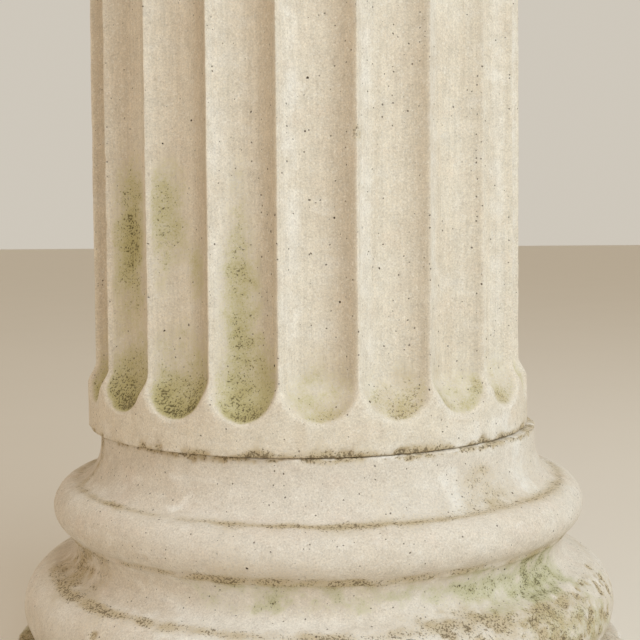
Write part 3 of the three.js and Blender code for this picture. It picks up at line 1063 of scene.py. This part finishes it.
    def form(self) -> Fluting:
        """Works out the plain fluted form.

        Returns:
            The form, before any wear.
        """
        level = self.levels()[:, None]
        envelope = self.envelope(level)
        centre, share, land = self.across()
        on_land = land > 0.0
        width = self.edge_half_width(level, envelope)
        even = envelope * math.sin(self.half_flute) * self.EVEN_SHARE
        sampled = width + (even - width) * self.evenness(level)
        offset = share * sampled
        open_end = np.where(level < self.height / 2.0, self.foot_end, self.head_end) - self.arris_land
        depth, inside = self.hollow(level, offset, open_end)
        within = np.abs(offset) <= width + 1e-9
        round_out = np.sqrt(np.clip(envelope**2 - offset**2, 0.0, None))
        inward = np.where(within, np.sqrt(envelope**2 - width**2) - depth, round_out)
        edge = np.arctan2(sampled, np.sqrt(envelope**2 - sampled**2))
        angle = np.where(on_land, edge + land * 2.0 * (self.half_flute - edge), np.arctan2(offset, inward))
        far = envelope * (angle - np.where(land > 0.5, 2.0 * self.half_flute, 0.0))
        slope = np.where(within, offset / np.maximum(self.flute_radius(open_end), 1e-6), 0.0)
        return Fluting(
            level=np.broadcast_to(level, offset.shape),
            angle=centre + angle,
            radius=np.where(on_land, envelope, np.hypot(offset, inward)),
            inside=np.where(on_land, self.hollow(level, far, open_end)[1], inside),
            centre=np.broadcast_to(centre, offset.shape),
            depth=np.where(on_land, 0.0, depth) * within,
            facing=centre + np.where(on_land, angle, -np.arcsin(np.clip(slope, -1.0, 1.0))),
        )

    def evenness(self, level: np.ndarray) -> np.ndarray:
        """Tells how evenly the columns are spread.

        Args:
            level: Heights of the rings.

        Returns:
            0 on the flutes and 1 on the plain bands.
        """
        inner, outer = self.BAND_OVERLAP
        foot = 1.0 - smooth(level, self.foot_band_height - inner, self.foot_band_height + outer)
        head_band = self.height - self.head_band_height
        return np.maximum(foot, smooth(level, head_band - outer, head_band + inner))

    def ease_ends(self, level: np.ndarray) -> np.ndarray:
        """Rounds the bands' outer edges back.

        Args:
            level: Heights of the points.

        Returns:
            Distances to draw in.
        """
        near = np.minimum(level, self.height - level)
        short = np.clip(self.edge_ease - near, 0.0, None)
        return self.edge_ease - np.sqrt(np.clip(self.edge_ease**2 - short**2, 0.0, None))

    def shift(self, angle: np.ndarray) -> np.ndarray:
        """Sets the arrises a little to one side, as the moulder's hand did, and spreads that between them.

        Args:
            angle: Angles round the shaft, in radians.

        Returns:
            Angles to add, in radians.
        """
        pitch = 360.0 / self.flutes
        offsets = np.random.default_rng(self.seed + 2).uniform(-0.4, 0.4, self.flutes)
        offsets[: len(self.seen_shifts)] = self.seen_shifts
        marks = self.first_seen_arris + pitch * np.arange(self.flutes + 1)
        wrapped = (np.degrees(angle) - self.first_seen_arris) % 360.0 + self.first_seen_arris
        return np.radians(np.interp(wrapped, marks, [*offsets, offsets[0]]))

    def chips(self) -> list[Chip]:
        """Chips the arrises and both joints.

        Returns:
            The chips, in places about the shaft's own axis and foot.
        """
        rng = np.random.default_rng(self.seed)
        foot, head = (0.0, 2.5 * MM, 0.5 * MM), (self.height, 0.0, 1.5 * MM)
        chips = chips_round(rng, 300, self.band_radius, foot, (1.6 * MM, 5.0 * MM))
        chips += chips_round(rng, 40, self.head_diameter / 2.0, head, (2.0 * MM, 5.0 * MM))
        chips.append(self.arris_chip(1, 184.0 * MM, 6.5 * MM, 1.9 * MM))
        for _ in range(45):
            reach = rng.uniform(1.2 * MM, 3.2 * MM)
            level = rng.uniform(45.0 * MM, 450.0 * MM)
            chips.append(self.arris_chip(int(rng.integers(self.flutes)), level, reach, 0.25 * reach))
        return chips

    def arris_chip(self, number: int, level: float, reach: float, depth: float) -> Chip:
        """Chips one arris.

        Args:
            number: The arris, counted to the right from the one nearest the front.
            level: Its height above the shaft's foot.
            reach: Its size.
            depth: How deep it bites.

        Returns:
            The chip.
        """
        angle = self.flute_turn + number * 2.0 * self.half_flute
        radius = float(self.arris(np.array(level)))
        return Chip((radius * math.sin(angle), -radius * math.cos(angle), level), reach, depth)

    def stains(self, form: Fluting, points: np.ndarray, bites: np.ndarray) -> dict[Stain, np.ndarray]:
        """Lays the weather's stains on the shaft, with painted light and shade on the flute walls.

        Args:
            form: The plain form.
            points: Its points.
            bites: Depth of the chips at each.

        Returns:
            Each stain's strength at every point.
        """
        noise = WearNoise(self.seed + 1)
        broad = noise.fractal(points * np.array(self.TALLNESS), 50.0 * MM, 3)
        close = noise.fractal(points, 12.0 * MM, 3)
        level, angle, centre = form.level, np.degrees(form.angle), np.degrees(form.centre)
        hollow = smooth(form.depth, 0.3 * MM, 4.0 * MM)
        # Painted light and shade on the flute walls: how far each point looks towards the lit side.
        facing = np.cos(form.facing - self.lit_side)
        leaning = smooth(np.abs(np.sin(form.facing - form.centre)), 0.05, 0.5)
        wall = smooth(form.depth, 0.0, 3.0 * MM) * leaning
        # Flute walls that face the light: a painted highlight there, and less algae and grit.
        lit_walls = wall * smooth(facing, 0.55, 0.95)
        shady = 0.38 + 0.77 * around(centre, -40.0, 60.0)
        gritty = around(centre, 38.0, 75.0) * (1.0 - 0.35 * lit_walls)
        rise = level - self.foot_band_height
        above = np.clip(rise, 0.0, None)
        pool = np.exp(-above / (25.0 * MM)) * smooth(rise, -2.0 * MM, 2.0 * MM)
        algae = 1.35 * pool * shady * (1.0 - 0.65 * lit_walls * around(centre, -15.0, 60.0))
        for smear in self.smears:
            spread = bell(level - smear.level, smear.height) * around(angle, smear.angle, smear.reach)
            algae += smear.strength * spread
        sheltered = smooth(np.abs((angle + 180.0) % 360.0 - 180.0), 90.0, 110.0)
        algae += sheltered * (0.25 + 0.4 * broad) * np.exp(-above / (240.0 * MM))
        algae *= hollow * np.clip(0.95 + 0.3 * broad + 0.3 * close, 0.4, 1.5)
        joint = bell(level, 3.4 * MM) + bell(self.height - level, 2.6 * MM)
        crumbly = 0.5 + patchwork(angle, self.CRUMBLY_SPOTS)
        soil = pool * hollow * (0.22 * (0.5 + close) + 0.42 * gritty * np.clip(0.9 + 0.5 * close, 0.5, 1.2))
        soil += joint * crumbly * np.clip(0.7 + 0.9 * close, 0.0, 1.3)
        soil += 0.35 * bell(level, 16.0 * MM) * (1.0 - hollow) * smooth(close, 0.1, 0.9)
        soil += 0.5 * smooth(bites, 0.3 * MM, 1.5 * MM)
        # Painted shade on the flute walls that face away from the light.
        dull = wall * (1.0 - smooth(facing, 0.0, 0.8)) * (0.9 + 0.3 * broad)
        # Paler flute rims: worn edges, with a painted highlight.
        rim = bell(form.inside, 1.6 * MM)
        band = 1.0 - smooth(level, 0.0, 40.0 * MM)
        patches = patchwork(angle, self.PALE_SPOTS)
        # Painted highlight on the flute walls that face the light, added to the paler rims.
        pale = 0.12 * rim + 0.5 * lit_walls * (0.8 + 0.4 * close) * (1.0 - pool)
        pale += band * patches * (0.8 + 0.6 * close) + 0.35 * joint * smooth(-close, 0.0, 0.6)
        return {Stain.ALGAE: algae, Stain.SOIL: soil, Stain.PALE: pale, Stain.DULL: np.clip(dull, 0.0, 1.0)}

    def build(self, finish: "CastStone") -> bpy.types.Object:
        """Makes the shaft.

        Args:
            finish: The stone it is cast in.

        Returns:
            The dressed piece.
        """
        form = self.form()
        level = form.level
        plain = ring_points(form.radius, form.angle, level)
        noise = WearNoise(self.seed)
        fine = 1.0 - smooth(level, *self.PLAINER_FROM)
        nibble = smooth(noise.fractal(plain, 8.0 * MM, 2), -0.2, 1.0) * fine
        worn = (0.25 + 0.50 * nibble) * MM * bell(form.inside, self.arris_round)
        worn += 0.3 * MM * (0.6 - noise.fractal(plain, 75.0 * MM, 3))
        worn += 0.10 * MM * np.abs(noise.fractal(plain, 9.0 * MM, 2)) * fine
        bites = carve(self.chips(), plain, noise.sample(plain, 2.0 * MM))
        free = smooth(np.minimum(level, self.height - level), -0.1 * MM, 0.3 * MM)
        drawn_in = (worn + bites) * free + self.ease_ends(level)
        wander = self.WANDER * noise.fractal(plain * np.array(self.TALLNESS), 26.0 * MM, 2) * fine
        radius = form.radius - np.clip(drawn_in, 0.0, None)
        points = ring_points(radius, form.angle + self.shift(form.angle) + wander, level + self.low)
        points += np.array([self.axis.x, self.axis.y, 0.0])
        stains = self.stains(form, plain, bites)
        return Skin(f"column_{self.node}", points, stains).piece(self.node, finish.material())


class Shade:
    """A number that varies over a surface: a node's socket with arithmetic."""

    def __init__(self, graph: "Graph", socket: Socket) -> None:
        """Wraps a socket that carries a number, in the tree that it belongs to."""
        self.graph = graph
        self.socket = socket

    def maths(self, operation: str, *operands: "Shade | float") -> "Shade":
        """Adds one Math node, its inputs in order, and gives its result."""
        return self.graph.number("ShaderNodeMath", {"operation": operation}, dict(enumerate(operands)))

    def __add__(self, other: "Shade | float") -> "Shade":
        """Adds."""
        return self.maths("ADD", self, other)

    def __sub__(self, other: "Shade | float") -> "Shade":
        """Subtracts."""
        return self.maths("SUBTRACT", self, other)

    def __rsub__(self, other: float) -> "Shade":
        """Subtracts from a plain number."""
        return self.maths("SUBTRACT", other, self)

    def __mul__(self, other: "Shade | float") -> "Shade":
        """Multiplies."""
        return self.maths("MULTIPLY", self, other)

    __radd__ = __add__
    __rmul__ = __mul__

    def ease(self, low: "Shade | float", high: "Shade | float") -> "Shade":
        """Eases from 0 at low to 1 at high."""
        inputs = {"Value": self, "From Min": low, "From Max": high}
        return self.graph.number("ShaderNodeMapRange", {"interpolation_type": "SMOOTHSTEP"}, inputs)


class Graph:
    """The node tree of one material, or of the room's light."""

    def __init__(self, owner: bpy.types.Material | bpy.types.World) -> None:
        """Starts an empty tree.

        Args:
            owner: The material or world whose tree it is.
        """
        owner.use_nodes = True
        self.tree = owner.node_tree
        self.tree.nodes.clear()

    def node(self, kind: str, settings: Settings = None, inputs: Inputs = None) -> bpy.types.Node:
        """Adds a node.

        Args:
            kind: The node's type.
            settings: Its properties, which are set first.
            inputs: Values or links of its sockets, by name or number. A plain colour gets its alpha here.

        Returns:
            The node.
        """
        node = self.tree.nodes.new(kind)
        for name, value in (settings or {}).items():
            setattr(node, name, value)
        for key, value in (inputs or {}).items():
            socket = node.inputs[key]
            source = value.socket if isinstance(value, Shade) else value
            if isinstance(source, Socket):
                self.tree.links.new(source, socket)
            else:
                socket.default_value = (*source, 1.0) if socket.type == "RGBA" else source
        return node

    def number(self, kind: str, settings: Settings, inputs: Inputs = None, output: str | int = 0) -> Shade:
        """Adds a node and gives the number at one of its outputs."""
        return Shade(self, self.node(kind, settings, inputs).outputs[output])

    def stain(self, stain: Stain) -> Shade:
        """Reads a stain's strength from the mesh."""
        return self.number("ShaderNodeAttribute", {"attribute_name": stain.value}, output="Fac")

    def place(self, stretch: Point = (1.0, 1.0, 1.0)) -> Socket:
        """Gives the place on the object, scaled along each axis."""
        inputs = {0: self.node("ShaderNodeTexCoord").outputs["Object"], 1: stretch}
        return self.node("ShaderNodeVectorMath", {"operation": "MULTIPLY"}, inputs).outputs[0]

    def height(self, place: Socket) -> Shade:
        """Gives the third part of a vector."""
        return self.number("ShaderNodeSeparateXYZ", None, {0: place}, "Z")

    def noise(self, place: Socket, scale: float, detail: float, roughness: float = 0.55) -> Shade:
        """Reads noise at a place, from 0 to 1 around a half, its scale in features to the metre."""
        inputs = {"Vector": place, "Scale": scale, "Detail": detail, "Roughness": roughness}
        return self.number("ShaderNodeTexNoise", None, inputs)

    def stirred(self, place: Socket, scale: float, reach: float) -> Socket:
        """Shifts a place by noise, so that what is read there loses its even outline.

        Args:
            place: The place.
            scale: The noise's features to the metre.
            reach: How far the place is shifted, in metres.

        Returns:
            The shifted place.
        """
        noise = self.node("ShaderNodeTexNoise", None, {"Vector": place, "Scale": scale, "Detail": 1.0})
        shift = {0: noise.outputs["Color"], 1: (reach, reach, reach), 2: place}
        return self.node("ShaderNodeVectorMath", {"operation": "MULTIPLY_ADD"}, shift).outputs[0]

    def cells(self, place: Socket, scale: float) -> tuple[Shade, Shade, Shade]:
        """Divides space into irregular cells.

        Args:
            place: Where they are read.
            scale: Cells to the metre.

        Returns:
            The distance from a cell's middle, and two random numbers that each cell has.
        """
        cells = self.node("ShaderNodeTexVoronoi", None, {"Vector": place, "Scale": scale})
        parts = self.node("ShaderNodeSeparateColor", None, {"Color": cells.outputs["Color"]})
        sources = (cells.outputs["Distance"], parts.outputs[0], parts.outputs[1])
        return tuple(Shade(self, source) for source in sources)

    def pits(self, place: Socket, scale: float, size: float, share: float, crowd: Shade) -> Shade:
        """Scatters round pores.

        Args:
            place: Where they are read.
            scale: Cells to the metre, with at most one pore in each.
            size: A pore's largest radius, as a share of its cell.
            share: The share of cells that have one.
            crowd: What is added to that share from place to place.

        Returns:
            1 in a pore and 0 outside.
        """
        away, pick, girth = self.cells(place, scale)
        chosen = (pick + crowd).ease(1.0 - share, 1.0 - share + 0.02)
        radius = girth * (0.65 * size) + 0.35 * size
        return (1.0 - away.ease(radius * 0.55, radius)) * chosen

    def blend(self, share: Shade, under: object, over: object) -> Socket:
        """Mixes a share of a second colour over a first, each plain or carried by a socket."""
        settings = {"data_type": "RGBA", "clamp_factor": True}
        return self.node("ShaderNodeMix", settings, {0: share, 6: under, 7: over}).outputs[2]

    def dim(self, colour: Socket, strength: Shade) -> Socket:
        """Scales a colour by a number that varies."""
        inputs = {0: colour, "Scale": strength}
        return self.node("ShaderNodeVectorMath", {"operation": "SCALE"}, inputs).outputs[0]

    def surface(self, inputs: dict[str, object]) -> None:
        """Ends a material's tree with one principled shader that has these inputs."""
        shader = self.node("ShaderNodeBsdfPrincipled", None, inputs)
        self.node("ShaderNodeOutputMaterial", None, {"Surface": shader.outputs[0]})


@dataclass(frozen=True)
class Grain:
    """A stone finish's nodes, the place they are read at, and the fine and the coarser grain."""

    graph: Graph
    place: Socket
    sand: Shade
    lumps: Shade

    def clusters(self, scale: float) -> Shade:
        """Gathers flecks of this many to the metre into clusters, as a number around 0."""
        return (self.graph.noise(self.place, scale, 2.0, 0.7) - 0.5) * 3.6 + (self.lumps - 0.5) * 1.4


# The finish also lays painted shade and painted highlights, read from the mesh's stains.
@dataclass(frozen=True)
class CastStone:
    """Weathered cast stone: sandy and porous, streaked by rain, with algae and soil where water stays."""

    BUMP_STRENGTH = 0.5
    BUMP_DISTANCE = 0.7 * MM
    SPECULAR_LEVEL = 0.25

    name: str
    cream: Colour = (0.745, 0.683, 0.572)
    tan: Colour = (0.650, 0.555, 0.425)
    rose: Colour = (0.735, 0.640, 0.520)
    chalk: Colour = (0.860, 0.840, 0.790)
    # Colour of the painted shade on walls and sides that face away from the light.
    dull: Colour = (0.520, 0.430, 0.315)
    grit: Colour = (0.360, 0.275, 0.195)
    bloom: Colour = (0.620, 0.590, 0.365)
    olive: Colour = (0.440, 0.385, 0.165)
    moss: Colour = (0.098, 0.080, 0.034)
    ochre: Colour = (0.520, 0.415, 0.235)
    soil: Colour = (0.145, 0.108, 0.060)
    pore: Colour = (0.070, 0.050, 0.032)
    streaks: float = 0.0
    streaks_from: Span = (0.212, 0.236)
    roughness: float = 0.92

    def material(self) -> bpy.types.Material:
        """Builds the finish.

        Returns:
            The material.
        """
        material = bpy.data.materials.new(self.name)
        graph = Graph(material)
        place = graph.place()
        grain = Grain(graph, place, graph.noise(place, 1000.0, 2.0, 0.8), graph.noise(place, 130.0, 5.0, 0.6))
        pores = self.pores(graph, graph.stirred(place, 500.0, 1.1 * MM))
        colour = self.dirt_and_shade(grain, self.algae(grain, self.ground(grain)))
        height = grain.sand * 0.45 + grain.lumps * 0.8 - pores * 0.9
        bump = {"Strength": self.BUMP_STRENGTH, "Distance": self.BUMP_DISTANCE, "Height": height}
        inputs = {
            "Base Color": graph.blend(pores, colour, self.pore),
            "Roughness": grain.sand * 0.06 + (self.roughness - 0.03),
            "Normal": graph.node("ShaderNodeBump", None, bump).outputs[0],
            "Specular IOR Level": self.SPECULAR_LEVEL,
        }
        graph.surface(inputs)
        return material

    def pores(self, graph: Graph, place: Socket) -> Shade:
        """Scatters the air pores of the casting, large and small.

        Args:
            graph: The material's nodes.
            place: Where they are read.

        Returns:
            1 in a pore and 0 outside.
        """
        crowd = (graph.noise(place, 22.0, 2.0) - 0.5) * 1.2 + graph.stain(Stain.ALGAE) * 0.15
        # More pores where the painted shade lies.
        crowd = crowd + graph.stain(Stain.DULL) * 0.12
        large = graph.pits(place, 115.0, 0.11, 0.30, crowd)
        small = graph.pits(place, 330.0, 0.25, 0.27, crowd)
        return (large + small * 0.7).ease(0.0, 1.0)

    def ground(self, grain: Grain) -> Socket:
        """Colours the bare stone, with its clouds, painted light and shade, rain streaks and sandy grain.

        Args:
            grain: The material's nodes and grain.

        Returns:
            The colour.
        """
        graph, place = grain.graph, grain.place
        clouds = graph.noise(place, 13.0, 5.0)
        patches = graph.noise(graph.place((1.0, 1.0, 1.8)), 34.0, 5.0, 0.6)
        colour = graph.blend(clouds.ease(0.40, 0.72) * 0.35, self.cream, self.tan)
        colour = graph.blend(patches.ease(0.48, 0.72) * 0.5, colour, self.rose)
        colour = graph.blend((1.0 - patches).ease(0.52, 0.74) * 0.35, colour, self.chalk)
        # Painted shade where the surface faces away from the light.
        colour = graph.blend(graph.stain(Stain.DULL) * 0.5, colour, self.dull)
        # Pale patches, some of them painted highlights.
        pale = graph.stain(Stain.PALE) + (grain.lumps - 0.5) * 0.5
        colour = graph.blend(pale.ease(0.08, 0.9) * 0.75, colour, self.chalk)
        if self.streaks > 0.0:
            colour = self.rain(graph, place, colour)
        _, pick, _ = graph.cells(place, 950.0)
        colour = graph.blend(pick.ease(0.80, 0.95) * 0.24, colour, self.chalk)
        colour = graph.blend((1.0 - pick).ease(0.88, 0.97) * 0.17, colour, self.grit)
        return graph.dim(colour, (grain.sand - 0.5) * 0.75 + (grain.lumps - 0.5) * 0.30 + 1.0)

    def rain(self, graph: Graph, place: Socket, colour: Socket) -> Socket:
        """Streaks a colour downwards, with tan runs, finer dark ones and scratches.

        Args:
            graph: The material's nodes.
            place: Where it is read.
            colour: The stone below.

        Returns:
            The colour.
        """
        rain = graph.noise(graph.place((95.0, 95.0, 4.0)), 1.0, 4.0, 0.6)
        runs = graph.noise(graph.place((260.0, 260.0, 9.0)), 1.0, 3.0)
        scratches = graph.noise(graph.place((650.0, 650.0, 45.0)), 1.0, 2.0, 0.7)
        colour = graph.blend(rain.ease(0.5, 0.75) * self.streaks, colour, self.tan)
        lines = (runs - 0.5) * (0.5 * self.streaks) + (scratches - 0.5) * (0.8 * self.streaks)
        return graph.dim(colour, lines * graph.height(place).ease(*self.streaks_from) + 1.0)

    def algae(self, grain: Grain, colour: Socket) -> Socket:
        """Grows algae over a colour: a green bloom, an olive film and dark specks.

        Args:
            grain: The material's nodes and grain.
            colour: The stone below.

        Returns:
            The colour.
        """
        graph = grain.graph
        amount = graph.stain(Stain.ALGAE)
        drift = (graph.noise(grain.place, 42.0, 5.0, 0.62) - 0.5) * 0.8
        uneven = drift + (grain.lumps - 0.5) * 0.8 + (grain.sand - 0.5) * 1.2
        film = (amount + uneven * amount.ease(0.02, 0.30)).ease(0.04, 1.05)
        specks = (amount * 0.80 + grain.clusters(760.0) - 0.28).ease(0.38, 0.90) * amount.ease(0.15, 0.50)
        colour = graph.blend(film.ease(0.0, 0.5) * 0.55, colour, self.bloom)
        colour = graph.blend(film * 0.85, colour, self.olive)
        return graph.blend(specks * 0.85, colour, self.moss)

    def dirt_and_shade(self, grain: Grain, colour: Socket) -> Socket:
        """Lays soil and painted crease shade over a colour: an ochre wash and dark crumbs.

        Args:
            grain: The material's nodes and grain.
            colour: The stone below.

        Returns:
            The colour.
        """
        graph = grain.graph
        amount = graph.stain(Stain.SOIL)
        uneven = (graph.noise(grain.place, 70.0, 5.0, 0.65) - 0.5) * 0.8 + (grain.sand - 0.5) * 1.0
        wash = (amount + uneven * amount.ease(0.02, 0.25)).ease(0.03, 0.9)
        crumbs = (amount * 0.55 + grain.clusters(720.0)).ease(0.42, 0.88) * amount.ease(0.10, 0.50)
        colour = graph.blend(wash * 0.72, colour, self.ochre)
        return graph.blend(crumbs * 0.8, colour, self.soil)


@dataclass(frozen=True)
class Softbox:
    """A large soft lamp aimed at the column."""

    name: str
    azimuth: float
    elevation: float
    distance: float
    size: float
    power: float
    colour: Colour

    def hang(self, target: Vector) -> None:
        """Hangs the lamp.

        Args:
            target: What it faces.
        """
        lamp = bpy.data.lights.new(self.name, "AREA")
        lamp.shape = "SQUARE"
        lamp.size = self.size
        lamp.energy = self.power
        lamp.color = self.colour
        made = put(self.name, lamp)
        turn, rise = math.radians(self.azimuth), math.radians(self.elevation)
        way = Vector((math.sin(turn) * math.cos(rise), -math.cos(turn) * math.cos(rise), math.sin(rise)))
        made.location = target + way * self.distance
        made.rotation_euler = (-way).to_track_quat("-Z", "Y").to_euler()


@dataclass
class Studio:
    """The pale floor, the soft light and the camera at the photographed angle."""

    lens: float = 66.06
    sensor: float = 36.0
    eye: Point = (17.76 * MM, -806.9 * MM, 316.6 * MM)
    pitch: float = math.radians(4.135)
    yaw: float = math.radians(-1.125)
    roll: float = math.radians(-0.409)
    lit_height: float = 0.35
    floor_size: float = 60.0
    floor_tone: Colour = (0.86, 0.82, 0.75)
    floor_shade: float = 0.97
    floor_roughness: float = 0.7
    wall_tone: Colour = (0.62, 0.575, 0.50)
    ceiling_tone: Colour = (0.52, 0.445, 0.345)
    wall_rise: Span = (0.22, 0.50)
    lamps: Sequence[Softbox] = (
        Softbox("key_softbox", 40.0, 40.0, 3.0, 2.4, 62.0, (0.77, 0.88, 0.97)),
        Softbox("fill_softbox", -55.0, 20.0, 2.8, 2.4, 5.8, (1.0, 0.53, 0.23)),
    )

    def set_camera(self) -> None:
        """Places the camera where the photograph was taken from."""
        camera = bpy.data.cameras.new("camera")
        camera.sensor_width = self.sensor
        camera.lens = self.lens
        level = math.cos(self.pitch)
        ahead = Vector((math.sin(self.yaw) * level, math.cos(self.yaw) * level, -math.sin(self.pitch)))
        right = Vector((math.cos(self.yaw), -math.sin(self.yaw), 0.0))
        up = right.cross(ahead)
        tilted_right = math.cos(self.roll) * right + math.sin(self.roll) * up
        tilted_up = math.cos(self.roll) * up - math.sin(self.roll) * right
        axes = Matrix((tilted_right, tilted_up, -ahead)).transposed()
        made = put("camera", camera)
        made.matrix_world = Matrix.Translation(self.eye) @ axes.to_4x4()
        bpy.context.scene.camera = made

    def lay_floor(self) -> None:
        """Lays the plain pale floor."""
        half = self.floor_size / 2.0
        corners = [(-half, -half, 0.0), (half, -half, 0.0), (half, half, 0.0), (-half, half, 0.0)]
        mesh = bpy.data.meshes.new("floor")
        mesh.from_pydata(corners, [], [(0, 1, 2, 3)])
        material = bpy.data.materials.new("pale_floor")
        graph = Graph(material)
        dimmer = tuple(self.floor_shade * part for part in self.floor_tone)
        colour = graph.blend(graph.noise(graph.place(), 3.0, 4.0), dimmer, self.floor_tone)
        graph.surface({"Base Color": colour, "Roughness": self.floor_roughness})
        mesh.materials.append(material)
        put("floor", mesh)

    def fill_air(self) -> None:
        """Fills the room with even light: pale low down like its walls, dimmer and warmer above."""
        world = bpy.data.worlds.new("pale_room")
        graph = Graph(world)
        rise = graph.height(graph.node("ShaderNodeTexCoord").outputs["Generated"])
        tone = graph.blend(rise.ease(*self.wall_rise), self.wall_tone, self.ceiling_tone)
        air = graph.node("ShaderNodeBackground", None, {"Color": tone})
        graph.node("ShaderNodeOutputWorld", None, {"Surface": air.outputs[0]})
        bpy.context.scene.world = world

    def build(self) -> None:
        """Sets up the camera, the floor, the lamps and the colour of the air."""
        self.set_camera()
        self.lay_floor()
        self.fill_air()
        for lamp in self.lamps:
            lamp.hang(Vector((0.0, 0.0, self.lit_height)))
        bpy.context.scene.view_settings.view_transform = "Standard"
        LOG.info("studio: %d lamps", len(self.lamps))


def main() -> None:
    """Builds the studio and the three castings, from the floor up."""
    logging.basicConfig(level=logging.INFO, format="%(name)s: %(message)s")
    Studio().build()
    Base().build(
        CastStone(
            "base_cast_stone",
            cream=(0.733, 0.680, 0.595),
            rose=(0.725, 0.632, 0.535),
            bloom=(0.645, 0.645, 0.460),
            olive=(0.460, 0.438, 0.240),
        )
    )
    Shaft().build(CastStone("shaft_cast_stone", streaks=0.35))
    Capital().build(CastStone("capital_cast_stone", streaks=0.15))


if __name__ == "__main__":
    main()
